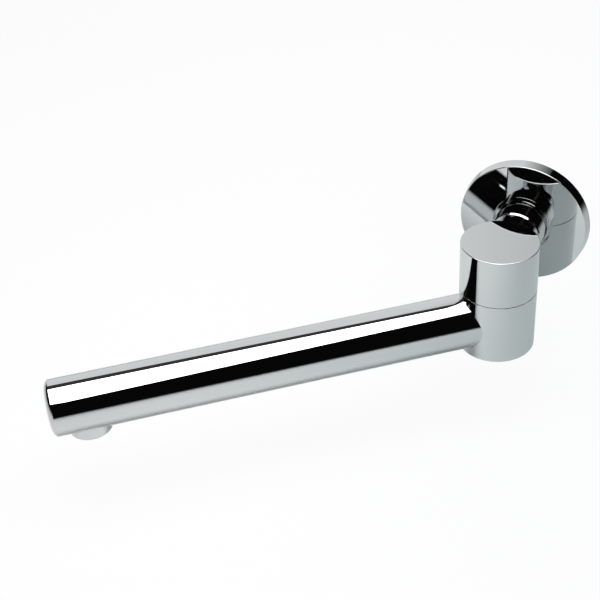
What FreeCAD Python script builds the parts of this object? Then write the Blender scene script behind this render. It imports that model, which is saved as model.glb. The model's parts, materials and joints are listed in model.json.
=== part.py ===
import FreeCAD, Part

import math
import os

# Swivel bathtub spout, millimetres.
# Origin: the centre of the water inlet, in the plane of the wall.
# +Y points into the wall, -Y into the room, +Z up. The barrel's axis is upright,
# in front of the wall, and the arm swings about it.

# Driving dimensions: wall flange
flange_diameter = 66.4
flange_bevel = 0.7
flange_thickness = 6.0
flange_edge_round = 0.4
seal_recess_inner_wall = 6.8
seal_recess_outer_wall = 4.2
seal_recess_depth = 1.6
flange_counterbore_gap = 1.65
flange_counterbore_depth = 2.4
flange_counterbore_round = 0.35
flange_ring_section = 1.5

# Driving dimensions: inlet neck
inlet_thread_diameter = 20.955
inlet_thread_length = 8.0
washer_seat_diameter = 19.2
collar_diameter = 26.4
collar_length = 18.95
collar_chamfer_length = 0.85
collar_chamfer_depth = 0.45
neck_diameter = 21.0
neck_bore_diameter = 13.0
spigot_shoulder = 2.0
spigot_depth = 4.0
inlet_washer_thickness = 2.0

# Driving dimensions: barrel
swivel_reach = 44.4
barrel_diameter = 38.0
upper_barrel_height = 25.7
lower_barrel_height = 32.8
joint_gap = 0.3
barrel_edge_round = 0.35
top_wall = 4.5

# Driving dimensions: pivot stem and its seals
stem_thread_diameter = 20.0
stem_thread_length = 6.2
stem_stop_shoulder = 0.6
stem_collar_diameter = 27.0
stem_collar_thickness = 3.0
journal_diameter = 17.0
stem_bore_diameter = 10.0
stem_end_length = 2.0
key_socket_width = 11.0
key_socket_depth = 4.0
stem_seal_section = 2.0
o_ring_section = 1.8
o_ring_land = 1.15
slip_washer_thickness = 1.0
thrust_washer_thickness = 1.0
thrust_washer_diameter = 22.6
circlip_thickness = 1.2
circlip_depth = 0.7
circlip_height = 1.7
circlip_gap_angle = 60.0
circlip_lug_radius = 1.5
circlip_hole_radius = 0.6

# Driving dimensions: lower barrel, hub and cap
lower_barrel_wall = 4.0
hub_diameter = 25.0
hub_land = 0.525
web_thickness = 2.6
bush_wall = 1.45
bush_length = 3.5
arm_port_diameter = 18.0
cap_thread_shoulder = 1.0
cap_thread_length = 3.3
cap_plug_length = 3.1
cap_inset = 0.3
cap_dish_diameter = 22.0
cap_floor = 2.8
spanner_hole_diameter = 3.0
spanner_hole_depth = 1.6
spanner_hole_spacing = 16.0

# Driving dimensions: swing
rest_swing_angle = -50.2
swing_each_way = 90.0
stop_pin_diameter = 2.5
stop_pin_edge_distance = 2.5
stop_pin_seat_depth = 4.0
stop_groove_depth = 2.6

# Driving dimensions: arm
arm_diameter = 27.5
arm_wall = 1.75
arm_drop = 17.2
arm_reach = 221.4
tip_plug_thickness = 3.0
tip_rim_height = 0.3
tip_shoulder_radius = 6.0
tip_rim_slope = math.radians(52)
tip_dome_slope = math.radians(8)

# Driving dimensions: outlet and aerator
outlet_plug_distance = 3.2
outlet_drop = 1.85
outlet_diameter = 21.0
outlet_chamfer = 0.3
outlet_spigot_wall = 0.95
outlet_mouth_step = 0.35
outlet_mouth_depth = 1.7
outlet_lip_width = 2.05
outlet_lip_thickness = 1.2
aerator_thread_diameter = 16.5
aerator_seal_thickness = 1.4
aerator_height = 5.6
aerator_wall = 1.25
aerator_lip_width = 0.7
aerator_lip_thickness = 0.8
key_slot_width = 2.0
key_slot_depth = 1.0
honeycomb_height = 2.6
honeycomb_hole_diameter = 1.5
honeycomb_pitch = 1.85
honeycomb_rings = 3
screen_thickness = 0.3
fine_screen_hole_diameter = 0.6
fine_screen_pitch = 1.0
fine_screen_rings = 5
coarse_screen_hole_diameter = 1.0
coarse_screen_pitch = 1.6
coarse_screen_rings = 3

# Clearances
running_clearance = 0.05
seal_bore_clearance = 0.1
slide_clearance = 0.1
thread_clearance = 0.05
seat_clearance = 0.02
loose_clearance = 0.2
stop_clearance = 0.15
groove_side_clearance = 0.2

# A squeezed rubber ring's flat side, as a share of the ring's thickness
ring_flat_share = 0.25

# Lengths that follow from the rings and bushes
stem_groove_half = o_ring_section * (1 + ring_flat_share) / 2 + groove_side_clearance / 2
o_ring_spacing = 2 * stem_groove_half + o_ring_land
hub_length = 2 * (bush_length + o_ring_spacing / 2 + stem_groove_half + hub_land)

# Levels along Z that several pieces share
joint_z = -upper_barrel_height / 2
barrel_top_z = upper_barrel_height / 2
stem_top_z = joint_z + stem_thread_length
stem_collar_bottom_z = joint_z - stem_collar_thickness
slip_washer_bottom_z = stem_collar_bottom_z - slip_washer_thickness
lower_top_z = joint_z - joint_gap
lower_bottom_z = lower_top_z - lower_barrel_height
hub_top_z = slip_washer_bottom_z - running_clearance
hub_bottom_z = hub_top_z - hub_length
thrust_washer_top_z = hub_bottom_z - running_clearance
circlip_top_z = thrust_washer_top_z - thrust_washer_thickness
circlip_bottom_z = circlip_top_z - circlip_thickness
stem_bottom_z = circlip_bottom_z - stem_end_length
lower_chamber_top_z = hub_top_z - web_thickness
cap_bottom_z = lower_bottom_z + cap_inset
cap_shoulder_z = cap_bottom_z + cap_thread_length
cap_top_z = cap_shoulder_z + cap_plug_length
arm_z = joint_z - arm_drop
outlet_bottom_z = arm_z - arm_diameter / 2 - outlet_drop
aerator_bottom_z = outlet_bottom_z + outlet_mouth_depth
aerator_top_z = aerator_bottom_z + aerator_height
outlet_lip_z = aerator_top_z + aerator_seal_thickness
outlet_top_z = outlet_lip_z + outlet_lip_thickness
honeycomb_bottom_z = aerator_bottom_z + aerator_lip_thickness
fine_screen_z = honeycomb_bottom_z + honeycomb_height
coarse_screen_z = fine_screen_z + screen_thickness

# Radii that several pieces share
barrel_radius = barrel_diameter / 2
collar_radius = collar_diameter / 2
journal_radius = journal_diameter / 2
hub_bore_radius = journal_radius + seal_bore_clearance
bush_inner_radius = journal_radius + running_clearance
bush_outer_radius = bush_inner_radius + bush_wall
lower_chamber_radius = barrel_radius - lower_barrel_wall
cap_plug_radius = lower_chamber_radius - running_clearance
cap_thread_radius = lower_chamber_radius + cap_thread_shoulder
arm_radius = arm_diameter / 2
arm_bore_radius = arm_radius - arm_wall
outlet_thread_radius = aerator_thread_diameter / 2
outlet_radius = outlet_diameter / 2
outlet_mouth_radius = outlet_thread_radius + outlet_mouth_step
outlet_spigot_radius = outlet_thread_radius + outlet_spigot_wall
outlet_lip_radius = outlet_thread_radius - outlet_lip_width
outlet_reach = arm_reach - tip_plug_thickness - outlet_plug_distance - outlet_spigot_radius
aerator_radius = outlet_thread_radius - thread_clearance
aerator_bore_radius = aerator_radius - aerator_wall
aerator_core_radius = aerator_bore_radius - seat_clearance

# Constants
FULL_TURN = 360.0
QUARTER_TURN = 90.0
HEXAGON_SIDES = 6
SAME_PLACE = 1e-6
UP = FreeCAD.Vector(0, 0, 1)
BARREL_AXIS = FreeCAD.Vector(0, -swivel_reach, 0)


def turned(profile):
    """Solid of revolution about Z from a closed outline of (radius, height) points."""
    points = [FreeCAD.Vector(radius, 0, height) for radius, height in profile]
    outline = Part.makePolygon(points + points[:1])
    return Part.Face(outline).revolve(FreeCAD.Vector(), UP, FULL_TURN)


def rod(radius, low, high):
    """Solid cylinder about Z between two heights."""
    return Part.makeCylinder(radius, high - low, FreeCAD.Vector(0, 0, low))


def ring(inner, outer, low, high):
    """Flat ring about Z between two heights."""
    return turned([(inner, low), (outer, low), (outer, high), (inner, high)])


def hexagon(flats_width, low, high):
    """Hexagonal solid about Z between two heights, with one pair of flats facing along X."""
    corner_radius = flats_width / 2 / math.cos(math.pi / HEXAGON_SIDES)
    corners = []
    for corner in range(HEXAGON_SIDES + 1):
        angle = math.pi * (2 * corner + 1) / HEXAGON_SIDES
        corners.append(FreeCAD.Vector(
            corner_radius * math.cos(angle),
            corner_radius * math.sin(angle),
            low,
        ))
    return Part.Face(Part.makePolygon(corners)).extrude(UP * (high - low))


def squeezed_ring(inner, outer, middle):
    """Rubber ring about Z as it sits in its groove: round sides and flattened faces."""
    half = (outer - inner) / 2
    flat = half * ring_flat_share
    centre = (inner + outer) / 2
    corners = [
        FreeCAD.Vector(outer, 0, middle - flat),
        FreeCAD.Vector(outer, 0, middle + flat),
        FreeCAD.Vector(inner, 0, middle + flat),
        FreeCAD.Vector(inner, 0, middle - flat),
    ]
    top = FreeCAD.Vector(centre, 0, middle + flat + half)
    bottom = FreeCAD.Vector(centre, 0, middle - flat - half)
    edges = [
        Part.LineSegment(corners[0], corners[1]).toShape(),
        Part.Arc(corners[1], top, corners[2]).toShape(),
        Part.LineSegment(corners[2], corners[3]).toShape(),
        Part.Arc(corners[3], bottom, corners[0]).toShape(),
    ]
    section = Part.Face(Part.Wire(edges))
    return section.revolve(FreeCAD.Vector(), UP, FULL_TURN)


def ring_height(section):
    """Height of a squeezed ring whose radial thickness is section."""
    return section * (1 + ring_flat_share)


def rounded_rim(shape, radius, height, size):
    """Round the circular edge of the given radius at the given height about Z."""
    rims = []
    for edge in shape.Edges:
        if not isinstance(edge.Curve, Part.Circle):
            continue
        same_radius = abs(edge.Curve.Radius - radius) < SAME_PLACE
        same_height = abs(edge.Curve.Center.z - height) < SAME_PLACE
        if same_radius and same_height:
            rims.append(edge)
    return shape.makeFillet(size, rims)


def hexagonal_spots(rings, pitch):
    """Centres of a hexagonal pattern: one in the middle and rings of six more round it."""
    spots = []
    for row in range(-rings, rings + 1):
        for step in range(-rings, rings + 1):
            if abs(row + step) <= rings:
                across = pitch * (step + row / 2)
                along = pitch * row * math.sqrt(3) / 2
                spots.append(FreeCAD.Vector(across, along, 0))
    return spots


def perforated_disc(radius, low, high, hole_diameter, pitch, rings):
    """Disc about Z with a hexagonal pattern of round holes, each clear of the disc's edge."""
    hole_radius = hole_diameter / 2
    rim = hole_radius / 2
    holes = []
    for spot in hexagonal_spots(rings, pitch):
        if spot.Length + hole_radius + rim < radius:
            hole = rod(hole_radius, low, high)
            hole.translate(spot)
            holes.append(hole)
    return rod(radius, low, high).cut(Part.makeCompound(holes))


def on_inlet_axis(shape):
    """Lay a shape made about Z along the inlet: its height becomes distance from the wall."""
    shape.rotate(FreeCAD.Vector(), FreeCAD.Vector(1, 0, 0), QUARTER_TURN)
    return shape


def on_barrel_axis(shape):
    """Move a shape made about Z to the barrel's axis."""
    shape.translate(BARREL_AXIS)
    return shape


def on_arm_axis(shape):
    """Lay a shape made about Z along the arm: its height becomes distance from the barrel's axis."""
    shape.rotate(FreeCAD.Vector(), FreeCAD.Vector(1, 0, 0), QUARTER_TURN)
    shape.translate(BARREL_AXIS + UP * arm_z)
    return shape


def on_outlet_axis(shape):
    """Move a shape made about Z to the outlet's axis, under the straight arm's tip."""
    shape.translate(BARREL_AXIS + FreeCAD.Vector(0, -outlet_reach, 0))
    return shape


def swung(shape):
    """Turn a piece of the straight arm to where the arm rests."""
    shape.rotate(BARREL_AXIS, UP, rest_swing_angle)
    return shape


# Wall flange and what sits in it

flange_bore_radius = collar_radius + slide_clearance
seal_recess_inner_radius = collar_radius + seal_recess_inner_wall
seal_recess_outer_radius = flange_diameter / 2 - seal_recess_outer_wall
flange_groove_radius = collar_radius + flange_ring_section + 2 * seat_clearance
flange_groove_half = ring_height(flange_ring_section) / 2 + groove_side_clearance / 2
flange_counterbore_radius = collar_radius + flange_counterbore_gap
flange_land_end = flange_thickness - flange_counterbore_depth
flange_groove_middle = flange_land_end / 2


def wall_flange():
    back_radius = flange_diameter / 2
    face_radius = back_radius - flange_bevel
    plate = turned([
        (flange_bore_radius, 0),
        (back_radius, 0),
        (face_radius, flange_thickness),
        (flange_counterbore_radius, flange_thickness),
        (flange_counterbore_radius, flange_land_end),
        (flange_bore_radius, flange_land_end),
    ])
    plate = rounded_rim(plate, face_radius, flange_thickness, flange_edge_round)
    plate = rounded_rim(plate, flange_counterbore_radius, flange_thickness, flange_counterbore_round)
    recess = ring(
        seal_recess_inner_radius,
        seal_recess_outer_radius,
        0,
        seal_recess_depth,
    )
    groove = ring(
        collar_radius,
        flange_groove_radius,
        flange_groove_middle - flange_groove_half,
        flange_groove_middle + flange_groove_half,
    )
    return on_inlet_axis(plate.cut(recess).cut(groove))


def flange_seal():
    return on_inlet_axis(ring(
        seal_recess_inner_radius + loose_clearance,
        seal_recess_outer_radius - loose_clearance,
        0,
        seal_recess_depth,
    ))


def flange_o_ring():
    return on_inlet_axis(squeezed_ring(
        collar_radius + seat_clearance,
        flange_groove_radius - seat_clearance,
        flange_groove_middle,
    ))


# Inlet neck and its washer

inlet_thread_radius = inlet_thread_diameter / 2
washer_seat_radius = washer_seat_diameter / 2
washer_seat_depth = inlet_thread_length + inlet_washer_thickness
neck_radius = neck_diameter / 2
neck_bore_radius = neck_bore_diameter / 2
spigot_radius = neck_radius - spigot_shoulder
spigot_end = swivel_reach - barrel_radius + spigot_depth


def inlet_neck():
    outside = turned([
        (0, 0),
        (collar_radius, 0),
        (collar_radius, collar_length - collar_chamfer_length),
        (collar_radius - collar_chamfer_depth, collar_length),
        (neck_radius, collar_length),
        (neck_radius, swivel_reach),
        (0, swivel_reach),
    ])
    outside = on_inlet_axis(outside)
    barrel_space = on_barrel_axis(rod(barrel_radius, joint_z, barrel_top_z))
    spigot = on_inlet_axis(rod(spigot_radius, collar_length, spigot_end))
    thread = on_inlet_axis(rod(inlet_thread_radius, 0, inlet_thread_length))
    washer_seat = on_inlet_axis(rod(washer_seat_radius, 0, washer_seat_depth))
    bore = on_inlet_axis(rod(neck_bore_radius, 0, swivel_reach))
    neck = outside.cut(barrel_space).fuse(spigot)
    return neck.cut(thread).cut(washer_seat).cut(bore).removeSplitter()


def inlet_washer():
    return on_inlet_axis(ring(
        neck_bore_radius,
        washer_seat_radius - seat_clearance,
        inlet_thread_length,
        washer_seat_depth,
    ))


# Upper barrel and the pin that limits the swing

stem_thread_radius = stem_thread_diameter / 2
stem_gland_radius = stem_thread_radius + stem_seal_section + 2 * seat_clearance
stem_gland_depth = ring_height(stem_seal_section) + groove_side_clearance
stop_pin_radius = stop_pin_diameter / 2
stop_pin_path_radius = barrel_radius - stop_pin_edge_distance


def upper_barrel():
    barrel = rod(barrel_radius, joint_z, barrel_top_z)
    barrel = rounded_rim(barrel, barrel_radius, barrel_top_z, barrel_edge_round)
    gland = rod(stem_gland_radius, joint_z, joint_z + stem_gland_depth)
    thread = rod(stem_thread_radius + thread_clearance, joint_z, stem_top_z + thread_clearance)
    chamber = rod(stem_thread_radius - stem_stop_shoulder, joint_z, barrel_top_z - top_wall)
    barrel = on_barrel_axis(barrel.cut(gland).cut(thread).cut(chamber))
    port = on_inlet_axis(rod(neck_bore_radius, 0, swivel_reach))
    spigot_seat = on_inlet_axis(rod(spigot_radius + seat_clearance, 0, spigot_end + seat_clearance))
    pin_seat = rod(stop_pin_radius, joint_z, joint_z + stop_pin_seat_depth)
    pin_seat.translate(BARREL_AXIS + FreeCAD.Vector(0, stop_pin_path_radius, 0))
    return barrel.cut(port).cut(spigot_seat).cut(pin_seat)


def stop_pin():
    pin_bottom = lower_top_z - stop_groove_depth + loose_clearance
    pin = rod(stop_pin_radius, pin_bottom, joint_z + stop_pin_seat_depth)
    pin.translate(BARREL_AXIS + FreeCAD.Vector(0, stop_pin_path_radius, 0))
    return pin


# Pivot stem with its seals, washers and circlip

groove_bottom_radius = hub_bore_radius - o_ring_section - running_clearance - seat_clearance
hub_middle_z = (hub_top_z + hub_bottom_z) / 2
upper_ring_z = hub_middle_z + o_ring_spacing / 2
lower_ring_z = hub_middle_z - o_ring_spacing / 2
circlip_inner_radius = journal_radius - circlip_depth
circlip_outer_radius = circlip_inner_radius + circlip_height


def pivot_stem():
    stem = turned([
        (0, stem_top_z),
        (stem_thread_radius, stem_top_z),
        (stem_thread_radius, joint_z),
        (stem_collar_diameter / 2, joint_z),
        (stem_collar_diameter / 2, stem_collar_bottom_z),
        (journal_radius, stem_collar_bottom_z),
        (journal_radius, stem_bottom_z),
        (0, stem_bottom_z),
    ])
    for middle in (upper_ring_z, lower_ring_z):
        groove = ring(
            groove_bottom_radius,
            hub_bore_radius,
            middle - stem_groove_half,
            middle + stem_groove_half,
        )
        stem = stem.cut(groove)
    circlip_groove = ring(
        circlip_inner_radius,
        hub_bore_radius,
        circlip_bottom_z,
        circlip_top_z,
    )
    bore = rod(stem_bore_diameter / 2, stem_bottom_z, stem_top_z)
    key_socket = hexagon(key_socket_width, stem_bottom_z, stem_bottom_z + key_socket_depth)
    return on_barrel_axis(stem.cut(circlip_groove).cut(bore).cut(key_socket))


def stem_seal():
    return on_barrel_axis(squeezed_ring(
        stem_thread_radius + seat_clearance,
        stem_gland_radius - seat_clearance,
        joint_z + stem_gland_depth / 2,
    ))


def stem_o_ring(middle):
    return on_barrel_axis(squeezed_ring(
        groove_bottom_radius + seat_clearance,
        hub_bore_radius - running_clearance,
        middle,
    ))


def slip_washer():
    return on_barrel_axis(ring(
        journal_radius + loose_clearance,
        stem_collar_diameter / 2,
        slip_washer_bottom_z,
        stem_collar_bottom_z,
    ))


def thrust_washer():
    return on_barrel_axis(ring(
        journal_radius + running_clearance,
        thrust_washer_diameter / 2,
        circlip_top_z,
        thrust_washer_top_z,
    ))


def stem_circlip():
    body = ring(circlip_inner_radius, circlip_outer_radius, circlip_bottom_z, circlip_top_z)
    half_gap = math.radians(circlip_gap_angle / 2)
    reach = 2 * circlip_outer_radius
    gap_corners = [
        FreeCAD.Vector(0, 0, circlip_bottom_z),
        FreeCAD.Vector(reach * math.sin(half_gap), reach * math.cos(half_gap), circlip_bottom_z),
        FreeCAD.Vector(-reach * math.sin(half_gap), reach * math.cos(half_gap), circlip_bottom_z),
        FreeCAD.Vector(0, 0, circlip_bottom_z),
    ]
    gap = Part.Face(Part.makePolygon(gap_corners)).extrude(UP * circlip_thickness)
    body = body.cut(gap)
    lug_circle_radius = journal_radius + circlip_lug_radius
    for side in (-1, 1):
        angle = half_gap + circlip_lug_radius / lug_circle_radius
        spot = FreeCAD.Vector(
            side * lug_circle_radius * math.sin(angle),
            lug_circle_radius * math.cos(angle),
            0,
        )
        lug = rod(circlip_lug_radius, circlip_bottom_z, circlip_top_z)
        lug.translate(spot)
        hole = rod(circlip_hole_radius, circlip_bottom_z, circlip_top_z)
        hole.translate(spot)
        body = body.fuse(lug).cut(hole)
    return on_barrel_axis(body.removeSplitter())


# Lower barrel with its hub, bushes and cap

def stop_groove():
    """Half-turn groove for the stop pin, in the straight arm's position."""
    middle_radius = stop_pin_path_radius
    half_width = stop_pin_radius + loose_clearance
    end_angle = math.degrees((stop_pin_radius + stop_clearance) / middle_radius)
    half_angle = swing_each_way + end_angle
    section = ring(
        middle_radius - half_width,
        middle_radius + half_width,
        lower_top_z - stop_groove_depth,
        lower_top_z,
    )
    wedge = Part.makeCylinder(
        barrel_diameter,
        stop_groove_depth,
        FreeCAD.Vector(0, 0, lower_top_z - stop_groove_depth),
        UP,
        2 * half_angle,
    )
    wedge.rotate(FreeCAD.Vector(), UP, QUARTER_TURN - half_angle)
    return section.common(wedge)


def lower_barrel():
    shell = rod(barrel_radius, lower_bottom_z, lower_top_z)
    shell = rounded_rim(shell, barrel_radius, lower_bottom_z, barrel_edge_round)
    chamber = rod(lower_chamber_radius, lower_bottom_z, lower_chamber_top_z)
    cap_thread = rod(cap_thread_radius + thread_clearance, lower_bottom_z, cap_shoulder_z)
    hub = rod(hub_diameter / 2, hub_bottom_z, lower_chamber_top_z)
    collar_recess = rod(stem_collar_diameter / 2 + loose_clearance, hub_top_z, lower_top_z)
    hub_bore = rod(hub_bore_radius, hub_bottom_z, hub_top_z)
    shell = shell.cut(chamber).cut(cap_thread).fuse(hub).cut(collar_recess).cut(hub_bore)
    for low, high in bush_spans():
        shell = shell.cut(rod(bush_outer_radius, low, high))
    shell = on_barrel_axis(shell.cut(stop_groove()))
    port = on_arm_axis(rod(arm_port_diameter / 2, hub_diameter / 2, barrel_diameter))
    return swung(shell.cut(port).removeSplitter())


def bush_spans():
    """Lowest and highest level of each bush, the upper one first."""
    return [
        (hub_top_z - bush_length, hub_top_z),
        (hub_bottom_z, hub_bottom_z + bush_length),
    ]


def bush(span):
    low, high = span
    return on_barrel_axis(ring(bush_inner_radius, bush_outer_radius, low, high))


cap_groove_bottom_radius = lower_chamber_radius - o_ring_section - 2 * seat_clearance
cap_groove_middle_z = (cap_shoulder_z + cap_top_z) / 2
cap_groove_half = ring_height(o_ring_section) / 2 + groove_side_clearance / 2


def bottom_cap():
    cap = turned([
        (0, cap_bottom_z),
        (cap_thread_radius, cap_bottom_z),
        (cap_thread_radius, cap_shoulder_z),
        (cap_plug_radius, cap_shoulder_z),
        (cap_plug_radius, cap_top_z),
        (0, cap_top_z),
    ])
    groove = ring(
        cap_groove_bottom_radius,
        lower_chamber_radius,
        cap_groove_middle_z - cap_groove_half,
        cap_groove_middle_z + cap_groove_half,
    )
    dish = rod(cap_dish_diameter / 2, cap_bottom_z + cap_floor, cap_top_z)
    cap = cap.cut(groove).cut(dish)
    for side in (-1, 1):
        hole = rod(spanner_hole_diameter / 2, cap_bottom_z, cap_bottom_z + spanner_hole_depth)
        hole.translate(FreeCAD.Vector(side * spanner_hole_spacing / 2, 0, 0))
        cap = cap.cut(hole)
    return swung(on_barrel_axis(cap))


def bottom_cap_o_ring():
    return on_barrel_axis(squeezed_ring(
        cap_groove_bottom_radius + seat_clearance,
        lower_chamber_radius - seat_clearance,
        cap_groove_middle_z,
    ))


# Arm and its tip

def arm_tube():
    tube = on_arm_axis(ring(arm_bore_radius, arm_radius, 0, arm_reach))
    barrel_space = on_barrel_axis(rod(barrel_radius, arm_z - arm_diameter, arm_z + arm_diameter))
    outlet_hole = on_outlet_axis(rod(outlet_spigot_radius + seat_clearance, outlet_bottom_z, arm_z))
    return swung(tube.cut(barrel_space).cut(outlet_hole))


def on_arc(radius, slope):
    """Way from an arc's centre to its point where the cap's surface has the given slope."""
    return FreeCAD.Vector(radius * math.sin(slope), 0, radius * math.cos(slope))


def tip_plug():
    """Slightly domed cap with a rounded shoulder; its spigot fits the arm's bore."""
    rim = FreeCAD.Vector(arm_radius, 0, arm_reach + tip_rim_height)
    shoulder_centre = rim - on_arc(tip_shoulder_radius, tip_rim_slope)
    shoulder_middle = shoulder_centre + on_arc(
        tip_shoulder_radius, (tip_rim_slope + tip_dome_slope) / 2
    )
    shoulder_end = shoulder_centre + on_arc(tip_shoulder_radius, tip_dome_slope)
    dome_radius = shoulder_end.x / math.sin(tip_dome_slope)
    dome_centre = shoulder_end - on_arc(dome_radius, tip_dome_slope)
    dome_middle = dome_centre + on_arc(dome_radius, tip_dome_slope / 2)
    apex = dome_centre + on_arc(dome_radius, 0)
    spigot_radius = arm_bore_radius - seat_clearance
    spigot_end = arm_reach - tip_plug_thickness
    straight_runs = Part.makePolygon([
        apex,
        FreeCAD.Vector(0, 0, spigot_end),
        FreeCAD.Vector(spigot_radius, 0, spigot_end),
        FreeCAD.Vector(spigot_radius, 0, arm_reach),
        FreeCAD.Vector(arm_radius, 0, arm_reach),
        rim,
    ])
    shoulder = Part.Arc(rim, shoulder_middle, shoulder_end).toShape()
    dome = Part.Arc(shoulder_end, dome_middle, apex).toShape()
    outline = Part.Wire(straight_runs.Edges + [shoulder, dome])
    cap = Part.Face(outline).revolve(FreeCAD.Vector(), UP, FULL_TURN)
    return swung(on_arm_axis(cap))


# Outlet and aerator

def outlet_boss():
    """Round boss shaped to the arm's underside, with a spigot through the arm's wall."""
    boss = turned([
        (0, outlet_bottom_z),
        (outlet_radius - outlet_chamfer, outlet_bottom_z),
        (outlet_radius, outlet_bottom_z + outlet_chamfer),
        (outlet_radius, arm_z),
        (0, arm_z),
    ])
    spigot = rod(outlet_spigot_radius, aerator_bottom_z, outlet_top_z)
    waterway = turned([
        (0, outlet_bottom_z),
        (outlet_mouth_radius, outlet_bottom_z),
        (outlet_mouth_radius, aerator_bottom_z),
        (outlet_thread_radius, aerator_bottom_z),
        (outlet_thread_radius, outlet_lip_z),
        (outlet_lip_radius, outlet_lip_z),
        (outlet_lip_radius, outlet_top_z),
        (0, outlet_top_z),
    ])
    arm_space = on_arm_axis(rod(arm_radius, 0, arm_reach))
    outside = on_outlet_axis(boss).cut(arm_space).fuse(on_outlet_axis(spigot))
    return swung(outside.cut(on_outlet_axis(waterway)).removeSplitter())


def aerator_seal():
    return swung(on_outlet_axis(ring(
        outlet_lip_radius,
        outlet_thread_radius - seat_clearance,
        aerator_top_z,
        outlet_lip_z,
    )))


def aerator_housing():
    lip_radius = aerator_bore_radius - aerator_lip_width
    housing = turned([
        (lip_radius, aerator_bottom_z),
        (aerator_radius, aerator_bottom_z),
        (aerator_radius, aerator_top_z),
        (aerator_bore_radius, aerator_top_z),
        (aerator_bore_radius, honeycomb_bottom_z),
        (lip_radius, honeycomb_bottom_z),
    ])
    slot = Part.makeBox(
        2 * aerator_radius,
        key_slot_width,
        key_slot_depth,
        FreeCAD.Vector(-aerator_radius, -key_slot_width / 2, aerator_bottom_z),
    )
    return swung(on_outlet_axis(housing.cut(slot)))


def aerator_insert():
    return swung(on_outlet_axis(perforated_disc(
        aerator_core_radius,
        honeycomb_bottom_z,
        fine_screen_z,
        honeycomb_hole_diameter,
        honeycomb_pitch,
        honeycomb_rings,
    )))


def aerator_fine_screen():
    return swung(on_outlet_axis(perforated_disc(
        aerator_core_radius,
        fine_screen_z,
        coarse_screen_z,
        fine_screen_hole_diameter,
        fine_screen_pitch,
        fine_screen_rings,
    )))


def aerator_coarse_screen():
    return swung(on_outlet_axis(perforated_disc(
        aerator_core_radius,
        coarse_screen_z,
        coarse_screen_z + screen_thickness,
        coarse_screen_hole_diameter,
        coarse_screen_pitch,
        coarse_screen_rings,
    )))


# All the pieces by name

upper_bush_span, lower_bush_span = bush_spans()

pieces = {
    "wall_flange": wall_flange(),
    "flange_seal": flange_seal(),
    "flange_o_ring": flange_o_ring(),
    "inlet_neck": inlet_neck(),
    "inlet_washer": inlet_washer(),
    "upper_barrel": upper_barrel(),
    "stop_pin": stop_pin(),
    "pivot_stem": pivot_stem(),
    "stem_seal": stem_seal(),
    "stem_o_ring_upper": stem_o_ring(upper_ring_z),
    "stem_o_ring_lower": stem_o_ring(lower_ring_z),
    "slip_washer": slip_washer(),
    "thrust_washer": thrust_washer(),
    "stem_circlip": stem_circlip(),
    "lower_barrel": lower_barrel(),
    "bush_upper": bush(upper_bush_span),
    "bush_lower": bush(lower_bush_span),
    "bottom_cap": bottom_cap(),
    "bottom_cap_o_ring": bottom_cap_o_ring(),
    "arm_tube": arm_tube(),
    "tip_plug": tip_plug(),
    "outlet_boss": outlet_boss(),
    "aerator_seal": aerator_seal(),
    "aerator_housing": aerator_housing(),
    "aerator_insert": aerator_insert(),
    "aerator_fine_screen": aerator_fine_screen(),
    "aerator_coarse_screen": aerator_coarse_screen(),
}

os.makedirs("parts", exist_ok=True)
for name, shape in pieces.items():
    solids = shape.Solids
    shape = solids[0] if len(solids) == 1 else Part.makeCompound(solids)
    shape.exportStep(os.path.join("parts", name + ".step"))
    print(name, len(solids), shape.isValid(), round(shape.Volume, 1))
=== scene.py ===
import json
import math

import bpy
from mathutils import Matrix, Vector

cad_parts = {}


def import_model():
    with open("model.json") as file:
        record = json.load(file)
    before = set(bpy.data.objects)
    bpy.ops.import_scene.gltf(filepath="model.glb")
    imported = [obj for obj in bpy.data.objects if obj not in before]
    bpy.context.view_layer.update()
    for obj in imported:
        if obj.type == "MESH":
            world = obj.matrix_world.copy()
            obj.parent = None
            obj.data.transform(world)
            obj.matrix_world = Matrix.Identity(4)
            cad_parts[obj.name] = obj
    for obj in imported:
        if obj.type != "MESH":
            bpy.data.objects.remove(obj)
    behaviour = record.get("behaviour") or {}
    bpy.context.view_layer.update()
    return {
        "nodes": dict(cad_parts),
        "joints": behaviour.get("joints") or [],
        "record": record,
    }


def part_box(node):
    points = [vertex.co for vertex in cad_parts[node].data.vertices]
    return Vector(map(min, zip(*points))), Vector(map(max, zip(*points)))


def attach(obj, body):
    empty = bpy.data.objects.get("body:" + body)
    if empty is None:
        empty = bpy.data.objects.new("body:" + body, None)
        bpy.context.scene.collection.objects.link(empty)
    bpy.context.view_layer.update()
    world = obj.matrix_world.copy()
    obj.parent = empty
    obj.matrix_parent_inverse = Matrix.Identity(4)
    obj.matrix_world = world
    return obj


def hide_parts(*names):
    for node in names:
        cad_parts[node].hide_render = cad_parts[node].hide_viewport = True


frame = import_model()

FIXED = "wall_body"
SWINGING = "swing_arm"


def mm(value):
    """Millimetres to metres."""
    return value * 0.001


# Places and sizes that the CAD gives

barrel_axis = Vector(frame["joints"][0]["pos_m"])
arm_low, arm_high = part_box("arm_tube")
flange_low, flange_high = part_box("wall_flange")
upper_low, upper_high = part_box("upper_barrel")
lower_low, lower_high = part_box("lower_barrel")
cap_low, cap_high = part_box("bottom_cap")
slip_low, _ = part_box("slip_washer")
bush_upper_low, bush_upper_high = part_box("bush_upper")
bush_lower_low, bush_lower_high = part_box("bush_lower")
boss_low, boss_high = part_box("outlet_boss")
washer_low, washer_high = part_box("inlet_washer")

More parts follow.
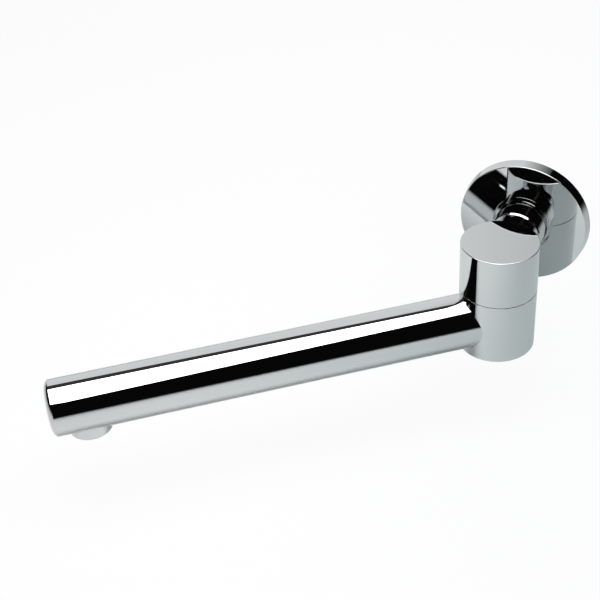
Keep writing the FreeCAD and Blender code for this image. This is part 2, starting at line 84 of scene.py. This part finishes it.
barrel_foot = Vector((barrel_axis.x, barrel_axis.y, 0))
barrel_radius = (upper_high.x - upper_low.x) / 2
flange_radius = (flange_high.x - flange_low.x) / 2
flange_thickness = -flange_low.y
arm_radius = (arm_high.z - arm_low.z) / 2
arm_z = (arm_high.z + arm_low.z) / 2
outlet_axis = Vector(((boss_low.x + boss_high.x) / 2, (boss_low.y + boss_high.y) / 2, 0))
arm_direction = (outlet_axis - barrel_foot).normalized()

# Sizes of the wall flange

FLANGE_BEVEL = mm(0.7)
FLANGE_EDGE_ROUND = mm(0.4)
FLANGE_BACK_ROUND = mm(0.15)
FLANGE_BORE_RADIUS = mm(13.3)
FLANGE_COUNTERBORE_RADIUS = mm(14.85)
FLANGE_COUNTERBORE_DEPTH = mm(2.4)
FLANGE_COUNTERBORE_ROUND = mm(0.35)
FLANGE_GROOVE_RADIUS = mm(14.74)
FLANGE_GROOVE_SPAN = (mm(0.7625), mm(2.8375))
SEAL_RECESS_RADII = (mm(20.0), mm(29.0))
SEAL_RECESS_DEPTH = mm(1.6)

# Sizes of the inlet neck and its thread

COLLAR_RADIUS = mm(13.2)
COLLAR_LENGTH = mm(18.95)
COLLAR_CHAMFER_LENGTH = mm(0.85)
COLLAR_CHAMFER_DEPTH = mm(0.45)
COLLAR_CHAMFER_ROUNDS = (mm(0.1), mm(0.15))
COLLAR_LINE_DEPTH = mm(0.12)
COLLAR_LINE_SPAN = (mm(0.24), mm(0.3))
NECK_RADIUS = mm(10.5)
NECK_BORE_RADIUS = mm(6.5)
SPIGOT_RADIUS = mm(8.5)
SPIGOT_END = mm(29.4)
WASHER_SEAT_RADIUS = mm(9.6)
INLET_CHAMFER = mm(0.6)
THREAD_RADIUS = mm(10.4775)
THREAD_PITCH = mm(1.814)
THREAD_DEPTH = mm(1.1)
THREAD_START = mm(0.5)
THREAD_LINING = mm(0.02)
THREAD_ROWS_PER_TURN = 12

# Sizes of the barrel's two halves

BARREL_EDGE_ROUND = mm(0.35)
JOINT_EDGE_ROUND = mm(0.12)
TOP_WALL = mm(4.5)
UPPER_CHAMBER_RADIUS = mm(9.4)
STEM_THREAD_RADIUS = mm(10.05)
STEM_THREAD_DEPTH = mm(6.25)
STEM_GLAND_RADIUS = mm(12.04)
STEM_GLAND_DEPTH = mm(2.7)
STEM_RECESS_RADIUS = mm(13.7)
STOP_GROOVE_RADII = (mm(15.05), mm(17.95))
STOP_GROOVE_DEPTH = mm(2.6)
HUB_RADIUS = mm(12.5)
HUB_BORE_RADIUS = mm(8.6)
WEB_THICKNESS = mm(2.6)
LOWER_CHAMBER_RADIUS = mm(15.0)
CAP_THREAD_LENGTH = mm(3.3)
CAP_EDGE_ROUND = mm(0.15)
RUNNING_CLEARANCE = mm(0.05)

# Sizes of the arm and its tip

ARM_REACH = mm(221.4)
ARM_WALL = mm(1.75)
PLUG_CLEARANCE = mm(0.02)
PLUG_THICKNESS = mm(3.0)
PLUG_EDGE_ROUND = mm(0.2)
TIP_RIM_HEIGHT = mm(0.3)
TIP_SHOULDER_RADIUS = mm(6.0)
TIP_RIM_SLOPE = math.radians(52)
TIP_DOME_SLOPE = math.radians(8)

# Fineness of the turned meshes

STEPS = 192
ANGLES = [2 * math.pi * step / STEPS for step in range(STEPS)]
ROUND_STEPS = 5
SHOULDER_STEPS = 16
DOME_STEPS = 4
SMOOTH_TURN = math.radians(5)
SAME_LENGTH = mm(0.01)
ON_AXIS = 1e-9

WORLD_X, WORLD_Y, WORLD_Z = Vector((1, 0, 0)), Vector((0, 1, 0)), Vector((0, 0, 1))


# Turned meshes

def axes(across, upright, along, origin):
    """Matrix whose X, Y and Z axes are the given ones, at the given origin."""
    matrix = Matrix((across, upright, along)).transposed().to_4x4()
    matrix.translation = origin
    return matrix


def placed(name, data):
    """New object in the scene."""
    piece = bpy.data.objects.new(name, data)
    bpy.context.scene.collection.objects.link(piece)
    return piece


def outline(corners):
    """Points round a closed outline from (radius, height, rounding) corners.

    The outline goes anticlockwise. Each point comes with the outward normal of the run before it
    and of the run after it, so that flat faces stay flat up to their rounded edges; where two runs
    turn only a little, as on a dome, they share one normal.
    """
    points = []
    for index, (radius, height, rounding) in enumerate(corners):
        here = Vector((radius, height))
        before = Vector(corners[index - 1][:2])
        after = Vector(corners[(index + 1) % len(corners)][:2])
        run_in = (here - before).normalized()
        run_out = (after - here).normalized()
        normal_in = Vector((run_in.y, -run_in.x))
        normal_out = Vector((run_out.y, -run_out.x))
        turn = normal_in.angle_signed(normal_out)
        if abs(turn) < SMOOTH_TURN:
            normal_in = normal_out = (normal_in + normal_out).normalized()
        if rounding == 0:
            points.append((here, normal_in, normal_out))
            continue
        side = 1 if turn < 0 else -1
        setback = rounding * abs(math.tan(turn / 2))
        centre = here - run_in * setback - normal_in * rounding * side
        for step in range(ROUND_STEPS + 1):
            normal = normal_in.lerp(normal_out, step / ROUND_STEPS).normalized()
            points.append((centre + normal * rounding * side, normal, normal))
    return points


def around(radius, angle, height):
    """Point or direction at an angle round Z."""
    return Vector((radius * math.cos(angle), radius * math.sin(angle), height))


def turned(name, corners, matrix, cope=None, waves=None):
    """Closed mesh turned about its own Z from an outline, then moved by matrix.

    cope(radius, height, angle) gives a point's own height, and waves(radius, height, angle) its
    own radius.
    """
    points = outline(corners)
    vertices = []
    rings = []
    for place, _, _ in points:
        if place.x < ON_AXIS:
            rings.append([len(vertices)] * STEPS)
            vertices.append(matrix @ Vector((0, 0, place.y)))
            continue
        rings.append(list(range(len(vertices), len(vertices) + STEPS)))
        for angle in ANGLES:
            height = cope(place.x, place.y, angle) if cope else place.y
            radius = waves(place.x, place.y, angle) if waves else place.x
            vertices.append(matrix @ around(radius, angle, height))
    faces = []
    normals = []
    turn_only = matrix.to_3x3()
    for index, (place, _, normal_here) in enumerate(points):
        following = (index + 1) % len(points)
        place_after, normal_after, _ = points[following]
        if place.x < ON_AXIS and place_after.x < ON_AXIS:
            continue
        for step in range(STEPS):
            beyond = (step + 1) % STEPS
            face = {}
            for ring, normal, at in [
                (rings[index], normal_here, step),
                (rings[index], normal_here, beyond),
                (rings[following], normal_after, beyond),
                (rings[following], normal_after, step),
            ]:
                direction = turn_only @ around(normal.x, ANGLES[at], normal.y)
                face.setdefault(ring[at], direction)
            faces.append(list(face))
            normals.extend(face.values())
    mesh = bpy.data.meshes.new(name)
    mesh.from_pydata(vertices, [], faces)
    mesh.polygons.foreach_set("use_smooth", [True] * len(faces))
    if waves is None:
        mesh.normals_split_custom_set(normals)
    return placed(name, mesh)


def dress(piece, material, body, node):
    """Give a new piece its material, the body that it rides on and the node that it replaces."""
    piece.data.materials.append(material)
    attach(piece, body)
    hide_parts(node)


# Node helpers for the materials

NOISE_MIDDLE = (0.3, 0.7)


def opaque(colour):
    """Colour with full alpha."""
    return (*colour, 1)


def add(tree, kind, inputs, **settings):
    """Add a shader node with its settings and inputs.

    Each input, by name or number, is a value or another node's socket, which is linked to it.
    """
    node = tree.nodes.new("ShaderNode" + kind)
    for setting, value in settings.items():
        setattr(node, setting, value)
    for key, value in inputs.items():
        if isinstance(value, bpy.types.NodeSocket):
            tree.links.new(value, node.inputs[key])
        else:
            node.inputs[key].default_value = value
    return node


def empty_material(name):
    """Node material without nodes; returns it and its node tree."""
    material = bpy.data.materials.new(name)
    material.use_nodes = True
    material.node_tree.nodes.clear()
    return material, material.node_tree


def new_material(name, colour, roughness, metallic=0.0, coat=0.0):
    """Material with a Principled shader; returns it with its node tree and shader."""
    material, tree = empty_material(name)
    shader = add(tree, "BsdfPrincipled", {
        "Base Color": opaque(colour),
        "Roughness": roughness,
        "Metallic": metallic,
        "Coat Weight": coat,
    })
    add(tree, "OutputMaterial", {"Surface": shader.outputs["BSDF"]})
    return material, tree, shader


def noise(tree, scale, detail=2.0, stretch=(1, 1, 1)):
    """Noise in the object's own coordinates; scale is in waves per metre."""
    place = add(tree, "TexCoord", {})
    mapping = add(tree, "Mapping", {"Vector": place.outputs["Object"], "Scale": stretch})
    texture = add(tree, "TexNoise", {
        "Vector": mapping.outputs["Vector"],
        "Scale": scale,
        "Detail": detail,
    })
    return texture.outputs["Fac"]


def cells(tree, scale):
    """Distance to the nearest cell centre, for foam; scale is in cells per metre."""
    place = add(tree, "TexCoord", {})
    texture = add(tree, "TexVoronoi", {"Vector": place.outputs["Object"], "Scale": scale})
    return texture.outputs["Distance"]


def tinted(tree, shader, factor, first, second):
    """Vary the base colour between two colours."""
    mix = add(tree, "Mix", {
        "Factor": factor,
        "A": opaque(first),
        "B": opaque(second),
    }, data_type="RGBA")
    tree.links.new(mix.outputs["Result"], shader.inputs["Base Color"])


def hazed(tree, shader, value, low, high):
    """Vary the roughness: the middle of a noise's range is spread from low to high."""
    spread = add(tree, "MapRange", {
        "Value": value,
        "From Min": NOISE_MIDDLE[0],
        "From Max": NOISE_MIDDLE[1],
        "To Min": low,
        "To Max": high,
    })
    tree.links.new(spread.outputs["Result"], shader.inputs["Roughness"])


def bumped(tree, shader, value, height):
    """Bump whose full height is in metres."""
    bump = add(tree, "Bump", {"Strength": 1.0, "Distance": height, "Height": value})
    tree.links.new(bump.outputs["Normal"], shader.inputs["Normal"])


# Materials of the object

def polished_chrome():
    """Mirror plate: slow changes of tint, a little haze where it was wiped, faint orange peel."""
    material, tree, shader = new_material(
        "polished_chrome", (0.64, 0.65, 0.655), roughness=0.025, metallic=1.0)
    tinted(tree, shader, noise(tree, 45.0), (0.625, 0.645, 0.652), (0.655, 0.665, 0.668))
    hazed(tree, shader, noise(tree, 90.0, detail=4.0), low=0.012, high=0.034)
    bumped(tree, shader, noise(tree, 200.0, detail=1.0), height=4.0e-7)
    return material


def black_rubber():
    """Moulded nitrile rubber, satin, with a bloom of grey here and there."""
    material, tree, shader = new_material("black_rubber", (0.03, 0.03, 0.032), roughness=0.3)
    bloom = noise(tree, 900.0, detail=4.0)
    tinted(tree, shader, bloom, (0.022, 0.022, 0.024), (0.045, 0.045, 0.047))
    hazed(tree, shader, noise(tree, 600.0, detail=3.0), low=0.2, high=0.42)
    bumped(tree, shader, noise(tree, 5000.0), height=6.0e-6)
    return material


def foam_rubber():
    """Closed-cell foam, cut from sheet, so the cells show as small pits; its tint is painted
    shade, darker towards each pit's bottom.
    """
    material, tree, shader = new_material("foam_rubber", (0.09, 0.09, 0.095), roughness=0.85)
    pits_and_shade = cells(tree, 2600.0)
    # Painted shade: the colour darkens towards each cell's middle, where the bump sinks deepest.
    tinted(tree, shader, pits_and_shade, (0.05, 0.05, 0.054), (0.12, 0.12, 0.126))
    hazed(tree, shader, noise(tree, 700.0), low=0.75, high=0.95)
    bumped(tree, shader, pits_and_shade, height=1.2e-4)
    return material


def bearing_plastic():
    """Machined low-friction plastic with fine turning lines."""
    material, tree, shader = new_material(
        "black_bearing_plastic", (0.05, 0.05, 0.055), roughness=0.45)
    cloud = noise(tree, 500.0, detail=3.0)
    tinted(tree, shader, cloud, (0.04, 0.04, 0.044), (0.065, 0.065, 0.07))
    hazed(tree, shader, noise(tree, 800.0), low=0.38, high=0.55)
    bumped(tree, shader, noise(tree, 3000.0, stretch=(0.05, 0.05, 1)), height=4.0e-6)
    return material


def stainless_steel():
    """Bright steel with rolling lines along one direction."""
    material, tree, shader = new_material(
        "stainless_steel", (0.62, 0.62, 0.61), roughness=0.25, metallic=1.0)
    lines = noise(tree, 2500.0, detail=3.0, stretch=(1, 0.04, 1))
    tinted(tree, shader, lines, (0.56, 0.56, 0.55), (0.67, 0.67, 0.66))
    hazed(tree, shader, lines, low=0.18, high=0.34)
    bumped(tree, shader, lines, height=2.5e-6)
    return material


def turned_brass():
    """Unplated brass: turning lines round the axis and a slightly dulled surface."""
    material, tree, shader = new_material(
        "turned_brass", (0.78, 0.62, 0.33), roughness=0.28, metallic=1.0)
    tinted(tree, shader, noise(tree, 160.0, detail=4.0), (0.68, 0.51, 0.26), (0.82, 0.66, 0.36))
    hazed(tree, shader, noise(tree, 300.0, detail=3.0), low=0.2, high=0.38)
    bumped(tree, shader, noise(tree, 2600.0, detail=1.0, stretch=(0.03, 0.03, 1)), height=4.0e-6)
    return material


def aerator_plastic():
    """Light grey moulded acetal, a little waxy, with a fine moulded grain."""
    material, tree, shader = new_material(
        "aerator_plastic", (0.62, 0.64, 0.65), roughness=0.4, coat=0.15)
    tinted(tree, shader, noise(tree, 400.0, detail=3.0), (0.58, 0.6, 0.61), (0.66, 0.68, 0.69))
    hazed(tree, shader, noise(tree, 900.0), low=0.32, high=0.5)
    bumped(tree, shader, noise(tree, 4000.0), height=5.0e-6)
    return material


materials = {
    "polished_chrome": polished_chrome(),
    "black_rubber": black_rubber(),
    "foam_rubber": foam_rubber(),
    "black_bearing_plastic": bearing_plastic(),
    "stainless_steel": stainless_steel(),
    "turned_brass": turned_brass(),
    "aerator_plastic": aerator_plastic(),
}

# Every CAD node gets the material of its slot in the record

for subpart in frame["record"]["subparts"]:
    mesh = frame["nodes"][subpart["node"]].data
    for index in range(len(mesh.materials)):
        mesh.materials[index] = materials[subpart["material_slot"]]


# Chrome pieces, turned finely so that their reflections are smooth

CHROME_SLOT = "polished_chrome"
chrome = materials[CHROME_SLOT]
on_barrel = Matrix.Translation(barrel_foot)
on_inlet = axes(WORLD_X, WORLD_Z, -WORLD_Y, Vector((0, 0, 0)))
on_arm = axes(-WORLD_Z, arm_direction.cross(-WORLD_Z), arm_direction,
              Vector((barrel_axis.x, barrel_axis.y, arm_z)))


def wall_flange():
    """Cover plate with a bevelled rim and a recess round the neck.

    Its bore has a groove for the ring that grips the neck, and its back a recess for the seal.
    """
    inner, outer = SEAL_RECESS_RADII
    groove_back, groove_front = FLANGE_GROOVE_SPAN
    counterbore_floor = flange_thickness - FLANGE_COUNTERBORE_DEPTH
    return turned("flange_plate", [
        (FLANGE_BORE_RADIUS, 0, 0),
        (inner, 0, 0),
        (inner, SEAL_RECESS_DEPTH, 0),
        (outer, SEAL_RECESS_DEPTH, 0),
        (outer, 0, 0),
        (flange_radius, 0, FLANGE_BACK_ROUND),
        (flange_radius - FLANGE_BEVEL, flange_thickness, FLANGE_EDGE_ROUND),
        (FLANGE_COUNTERBORE_RADIUS, flange_thickness, FLANGE_COUNTERBORE_ROUND),
        (FLANGE_COUNTERBORE_RADIUS, counterbore_floor, 0),
        (FLANGE_BORE_RADIUS, counterbore_floor, 0),
        (FLANGE_BORE_RADIUS, groove_front, 0),
        (FLANGE_GROOVE_RADIUS, groove_front, 0),
        (FLANGE_GROOVE_RADIUS, groove_back, 0),
        (FLANGE_BORE_RADIUS, groove_back, 0),
    ], on_inlet)


def inlet_neck():
    """Collar, neck and spigot in one piece; the neck's end is coped to the barrel.

    A fine line runs round the collar just in front of the flange's face.
    """
    meets_barrel = -barrel_axis.y
    washer_seat = -washer_low.y
    thread_end = -washer_high.y
    line_middle, line_front = COLLAR_LINE_SPAN
    chamfer_start_round, chamfer_end_round = COLLAR_CHAMFER_ROUNDS

    def cope(radius, height, angle):
        if height < meets_barrel - SAME_LENGTH:
            return height
        across = radius * math.cos(angle)
        return meets_barrel - math.sqrt(barrel_radius ** 2 - across ** 2)

    return turned("neck", [
        (THREAD_RADIUS + INLET_CHAMFER, 0, 0),
        (COLLAR_RADIUS, 0, 0),
        (COLLAR_RADIUS, flange_thickness, 0),
        (COLLAR_RADIUS - COLLAR_LINE_DEPTH, flange_thickness + line_middle, 0),
        (COLLAR_RADIUS, flange_thickness + line_front, 0),
        (COLLAR_RADIUS, COLLAR_LENGTH - COLLAR_CHAMFER_LENGTH, chamfer_start_round),
        (COLLAR_RADIUS - COLLAR_CHAMFER_DEPTH, COLLAR_LENGTH, chamfer_end_round),
        (NECK_RADIUS, COLLAR_LENGTH, 0),
        (NECK_RADIUS, meets_barrel, 0),
        (SPIGOT_RADIUS, meets_barrel, 0),
        (SPIGOT_RADIUS, SPIGOT_END, 0),
        (NECK_BORE_RADIUS, SPIGOT_END, 0),
        (NECK_BORE_RADIUS, washer_seat, 0),
        (WASHER_SEAT_RADIUS, washer_seat, 0),
        (WASHER_SEAT_RADIUS, thread_end, 0),
        (THREAD_RADIUS, thread_end, 0),
        (THREAD_RADIUS, INLET_CHAMFER, 0),
    ], on_inlet, cope=cope)


def inlet_thread():
    """Threaded lining of the inlet: ridges that wind along the bore and fade out at both ends."""
    row_height = THREAD_PITCH / THREAD_ROWS_PER_TURN
    rows = int((-washer_high.y - THREAD_START) / row_height)
    end = THREAD_START + rows * row_height
    lining_back = THREAD_RADIUS + THREAD_LINING
    corners = [(lining_back, THREAD_START, 0), (lining_back, end, 0)]
    for row in range(rows, -1, -1):
        corners.append((THREAD_RADIUS, THREAD_START + row * row_height, 0))

    def waves(radius, height, angle):
        if radius > THREAD_RADIUS + SAME_LENGTH:
            return radius
        turns = height / THREAD_PITCH - angle / (2 * math.pi)
        ridge = (1 - math.cos(2 * math.pi * turns)) / 2
        fade = min(1, (height - THREAD_START) / THREAD_PITCH, (end - height) / THREAD_PITCH)
        return radius - THREAD_DEPTH * ridge * max(0, fade)

    return turned("inlet_thread", corners, on_inlet, waves=waves)


def upper_barrel():
    """Fixed half of the barrel: closed top, a chamber, and the stem's thread and seal below."""
    low, high = upper_low.z, upper_high.z
    chamber_top = high - TOP_WALL
    thread_top = low + STEM_THREAD_DEPTH
    gland_top = low + STEM_GLAND_DEPTH
    return turned("barrel_top", [
        (0, chamber_top, 0),
        (UPPER_CHAMBER_RADIUS, chamber_top, 0),
        (UPPER_CHAMBER_RADIUS, thread_top, 0),
        (STEM_THREAD_RADIUS, thread_top, 0),
        (STEM_THREAD_RADIUS, gland_top, 0),
        (STEM_GLAND_RADIUS, gland_top, 0),
        (STEM_GLAND_RADIUS, low, 0),
        (barrel_radius, low, JOINT_EDGE_ROUND),
        (barrel_radius, high, BARREL_EDGE_ROUND),
        (0, high, 0),
    ], on_barrel)


def lower_barrel():
    """Turning half of the barrel: its hub with the two bush seats hangs inside its chamber.

    The groove of the stop pin, out of sight at the joint, runs all the way round here.
    """
    low, high = lower_low.z, lower_high.z
    hub_top = slip_low.z - RUNNING_CLEARANCE
    hub_bottom = bush_lower_low.z
    chamber_top = hub_top - WEB_THICKNESS
    bush_seat = (bush_upper_high.x - bush_upper_low.x) / 2
    cap_seat = (cap_high.x - cap_low.x) / 2 + RUNNING_CLEARANCE
    cap_shoulder = cap_low.z + CAP_THREAD_LENGTH
    groove_inner, groove_outer = STOP_GROOVE_RADII
    groove_bottom = high - STOP_GROOVE_DEPTH
    return turned("barrel_bottom", [
        (cap_seat, low, CAP_EDGE_ROUND),
        (barrel_radius, low, BARREL_EDGE_ROUND),
        (barrel_radius, high, JOINT_EDGE_ROUND),
        (groove_outer, high, 0),
        (groove_outer, groove_bottom, 0),
        (groove_inner, groove_bottom, 0),
        (groove_inner, high, 0),
        (STEM_RECESS_RADIUS, high, 0),
        (STEM_RECESS_RADIUS, hub_top, 0),
        (bush_seat, hub_top, 0),
        (bush_seat, bush_upper_low.z, 0),
        (HUB_BORE_RADIUS, bush_upper_low.z, 0),
        (HUB_BORE_RADIUS, bush_lower_high.z, 0),
        (bush_seat, bush_lower_high.z, 0),
        (bush_seat, hub_bottom, 0),
        (HUB_RADIUS, hub_bottom, 0),
        (HUB_RADIUS, chamber_top, 0),
        (LOWER_CHAMBER_RADIUS, chamber_top, 0),
        (LOWER_CHAMBER_RADIUS, cap_shoulder, 0),
        (cap_seat, cap_shoulder, 0),
    ], on_barrel)


def arm_tube():
    """The arm's tube, coped to the barrel."""
    bore = arm_radius - ARM_WALL

    def cope(radius, height, angle):
        if height > 0:
            return height
        return math.sqrt(barrel_radius ** 2 - (radius * math.sin(angle)) ** 2)

    return turned("arm", [
        (bore, 0, 0),
        (arm_radius, 0, 0),
        (arm_radius, ARM_REACH, 0),
        (bore, ARM_REACH, 0),
    ], on_arm, cope=cope)


def tip_plug():
    """Cap on the arm's end: a low rim, a round shoulder and a shallow dome, with a spigot."""
    spigot_radius = arm_radius - ARM_WALL - PLUG_CLEARANCE
    rim = Vector((arm_radius, ARM_REACH + TIP_RIM_HEIGHT))
    corners = [
        (0, ARM_REACH - PLUG_THICKNESS, 0),
        (spigot_radius, ARM_REACH - PLUG_THICKNESS, PLUG_EDGE_ROUND),
        (spigot_radius, ARM_REACH, 0),
        (arm_radius, ARM_REACH, 0),
        (arm_radius, rim.y, 0),
    ]

    def arc(start, radius, slope_start, slope_end, steps):
        """Add an arc to the corners, each slope measured from level, and return its end."""
        centre = start - Vector((math.sin(slope_start), math.cos(slope_start))) * radius
        for step in range(1, steps + 1):
            slope = slope_start + (slope_end - slope_start) * step / steps
            place = centre + Vector((math.sin(slope), math.cos(slope))) * radius
            corners.append((max(place.x, 0), place.y, 0))
        return place

    shoulder_end = arc(rim, TIP_SHOULDER_RADIUS, TIP_RIM_SLOPE, TIP_DOME_SLOPE, SHOULDER_STEPS)
    dome_radius = shoulder_end.x / math.sin(TIP_DOME_SLOPE)
    arc(shoulder_end, dome_radius, TIP_DOME_SLOPE, 0, DOME_STEPS)
    return turned("tip_cap", corners, on_arm)


dress(wall_flange(), chrome, FIXED, "wall_flange")
dress(inlet_neck(), chrome, FIXED, "inlet_neck")
dress(upper_barrel(), chrome, FIXED, "upper_barrel")
dress(lower_barrel(), chrome, SWINGING, "lower_barrel")
dress(arm_tube(), chrome, SWINGING, "arm_tube")
dress(tip_plug(), chrome, SWINGING, "tip_plug")
thread = inlet_thread()
thread.data.materials.append(materials["turned_brass"])
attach(thread, FIXED)


# Stage: a floor some way under the spout, which hangs from its wall, and cards of light

FLOOR_DROP = mm(40)
FLOOR_Z = boss_low.z - FLOOR_DROP
FLOOR_HALF_WIDTH = 3.0
FLOOR_COLOUR = (0.87, 0.885, 0.885)
# Painted shade: the floor's colour darkens to the next colour round a spot near the spout,
# standing in for the shade that the spout casts on the floor.
PAINTED_FLOOR_SHADE = (0.55, 0.61, 0.61)
PAINTED_SHADE_MIDDLE = (0.12, 0.03, FLOOR_Z)
PAINTED_SHADE_REACH = (0.06, 0.36)
FLOOR_WHITE_SHARE = 0.93
WHITE = (1, 1, 1)
NEARLY_BLACK = (0.003, 0.003, 0.003)


def flat(name, corners):
    """Object with one flat face."""
    mesh = bpy.data.meshes.new(name)
    mesh.from_pydata([Vector(corner) for corner in corners], [], [tuple(range(len(corners)))])
    return placed(name, mesh)


def floor():
    """Floor that the camera sees as nearly white, and from below looks straight through.

    In reflections it is pale grey, with painted shade: darker round a spot near the spout,
    standing in for the shade that the spout casts on the floor.
    """
    half = FLOOR_HALF_WIDTH
    piece = flat("floor", [
        (-half, -half, FLOOR_Z),
        (half, -half, FLOOR_Z),
        (half, half, FLOOR_Z),
        (-half, half, FLOOR_Z),
    ])
    material, tree = empty_material("floor")
    spot = add(tree, "TexCoord", {})
    # Painted shade: the colour is mixed darker towards a spot near the spout.
    distance = add(tree, "VectorMath", {
        0: spot.outputs["Object"],
        1: PAINTED_SHADE_MIDDLE,
    }, operation="DISTANCE")
    spread = add(tree, "MapRange", {
        "Value": distance.outputs["Value"],
        "From Min": PAINTED_SHADE_REACH[0],
        "From Max": PAINTED_SHADE_REACH[1],
    }, interpolation_type="SMOOTHSTEP")
    painted_shade_tone = add(tree, "Mix", {
        "Factor": spread.outputs["Result"],
        "A": opaque(PAINTED_FLOOR_SHADE),
        "B": opaque(FLOOR_COLOUR),
    }, data_type="RGBA")
    diffuse = add(tree, "BsdfDiffuse", {"Color": painted_shade_tone.outputs["Result"]})
    white = add(tree, "Emission", {"Color": opaque(WHITE), "Strength": 1.0})
    clear = add(tree, "BsdfTransparent", {})
    to_camera = add(tree, "LightPath", {}).outputs["Is Camera Ray"]
    share = add(tree, "Math", {0: to_camera, 1: FLOOR_WHITE_SHARE}, operation="MULTIPLY")
    lit = add(tree, "MixShader", {0: share.outputs[0], 1: diffuse.outputs[0], 2: white.outputs[0]})
    from_below = add(tree, "NewGeometry", {}).outputs["Backfacing"]
    below = add(tree, "Math", {0: to_camera, 1: from_below}, operation="MULTIPLY")
    both = add(tree, "MixShader", {0: below.outputs[0], 1: lit.outputs[0], 2: clear.outputs[0]})
    add(tree, "OutputMaterial", {"Surface": both.outputs[0]})
    piece.data.materials.append(material)


def world():
    """Surroundings that are white to the camera and nearly black to everything else."""
    scene = bpy.context.scene
    scene.world = bpy.data.worlds.new("world")
    scene.world.use_nodes = True
    tree = scene.world.node_tree
    tree.nodes.clear()
    path = add(tree, "LightPath", {})
    dark = add(tree, "Background", {"Color": opaque(NEARLY_BLACK)})
    white = add(tree, "Background", {"Color": opaque(WHITE)})
    mix = add(tree, "MixShader", {
        0: path.outputs["Is Camera Ray"],
        1: dark.outputs[0],
        2: white.outputs[0],
    })
    add(tree, "OutputWorld", {"Surface": mix.outputs[0]})


def card(name, corners, strength, colour=WHITE, fade=None):
    """Flat card that gives off an even light, seen in reflections and not by the camera.

    fade is (start, end): along X the light falls from full at start to nothing at end.
    """
    piece = flat(name, corners)
    material, tree = empty_material(name)
    glow = add(tree, "Emission", {"Color": opaque(colour), "Strength": strength})
    if fade:
        place = add(tree, "TexCoord", {})
        parts = add(tree, "SeparateXYZ", {0: place.outputs["Object"]})
        slope = add(tree, "MapRange", {
            "Value": parts.outputs["X"],
            "From Min": fade[0],
            "From Max": fade[1],
            "To Min": strength,
            "To Max": 0,
        })
        tree.links.new(slope.outputs["Result"], glow.inputs["Strength"])
    add(tree, "OutputMaterial", {"Surface": glow.outputs["Emission"]})
    piece.data.materials.append(material)
    piece.visible_camera = False


floor()
world()

# Light: a softbox overhead with a small window in front of it, and a bright backdrop behind,
# which fades out to the right. A nearly dark ceiling closes the gap between the backdrop and the
# softbox, and a dim brown strip stands in front on the right.

LIGHT_Z = 0.5
BACKDROP_Y = 0.6
BACKDROP_LEFT, BACKDROP_RIGHT = -1.6, 0.25
BACKDROP_TOP = 1.0
CEILING_LEFT, CEILING_RIGHT = -1.6, 1.2
CEILING_BACK = (0.62, 1.0)
CEILING_FRONT = (0.0, 0.52)
STRIP_LEFT = (0.17, -0.93)
STRIP_RIGHT = (0.24, -0.91)
STRIP_TOP = 0.95

card("softbox", [
    (0.470, 0.327, LIGHT_Z),
    (-0.43, -0.018, LIGHT_Z),
    (-0.40, -0.24, LIGHT_Z),
    (0.085, -0.525, LIGHT_Z),
], strength=4.2)
card("window", [
    (-0.346, -0.528, LIGHT_Z),
    (-0.314, -0.622, LIGHT_Z),
    (-0.300, -0.636, LIGHT_Z),
    (-0.330, -0.542, LIGHT_Z),
], strength=2.5, colour=(0.88, 0.96, 1.0))
card("side", [
    (*STRIP_RIGHT, 0.0),
    (*STRIP_LEFT, 0.0),
    (*STRIP_LEFT, STRIP_TOP),
    (*STRIP_RIGHT, STRIP_TOP),
], strength=0.05, colour=(1.0, 0.6, 0.4))
card("backdrop", [
    (BACKDROP_RIGHT, BACKDROP_Y, FLOOR_Z),
    (BACKDROP_LEFT, BACKDROP_Y, FLOOR_Z),
    (BACKDROP_LEFT, BACKDROP_Y, BACKDROP_TOP),
    (BACKDROP_RIGHT, BACKDROP_Y, BACKDROP_TOP),
], strength=0.9, colour=(0.985, 1.0, 1.0), fade=(-0.25, 0.3))
card("ceiling", [
    (CEILING_RIGHT, *CEILING_BACK),
    (CEILING_LEFT, *CEILING_BACK),
    (CEILING_LEFT, *CEILING_FRONT),
    (CEILING_RIGHT, *CEILING_FRONT),
], strength=0.05, colour=(1.0, 0.95, 0.88))

# Camera at the photo's view, with its angles in radians

CAMERA_LENS = 69.9
CAMERA_SENSOR_WIDTH = 36.0
CAMERA_PLACE = Vector((0.12751, barrel_axis.y - 0.4542, 0.32530))
CAMERA_YAW = -0.482
CAMERA_PITCH = -0.632
CAMERA_ROLL = -0.075


def camera():
    """Camera that looks ahead by its yaw and pitch, then rolls about its own line of sight."""
    data = bpy.data.cameras.new("camera")
    data.lens = CAMERA_LENS
    data.sensor_width = CAMERA_SENSOR_WIDTH
    piece = placed("camera", data)
    ahead = Vector((
        math.cos(CAMERA_PITCH) * math.sin(CAMERA_YAW),
        math.cos(CAMERA_PITCH) * math.cos(CAMERA_YAW),
        math.sin(CAMERA_PITCH),
    ))
    level = Vector((math.cos(CAMERA_YAW), -math.sin(CAMERA_YAW), 0))
    upright = level.cross(ahead)
    across = level * math.cos(CAMERA_ROLL) + upright * math.sin(CAMERA_ROLL)
    up = upright * math.cos(CAMERA_ROLL) - level * math.sin(CAMERA_ROLL)
    piece.matrix_world = axes(across, up, -ahead, CAMERA_PLACE)
    bpy.context.scene.camera = piece


camera()
bpy.context.scene.view_settings.view_transform = "Standard"
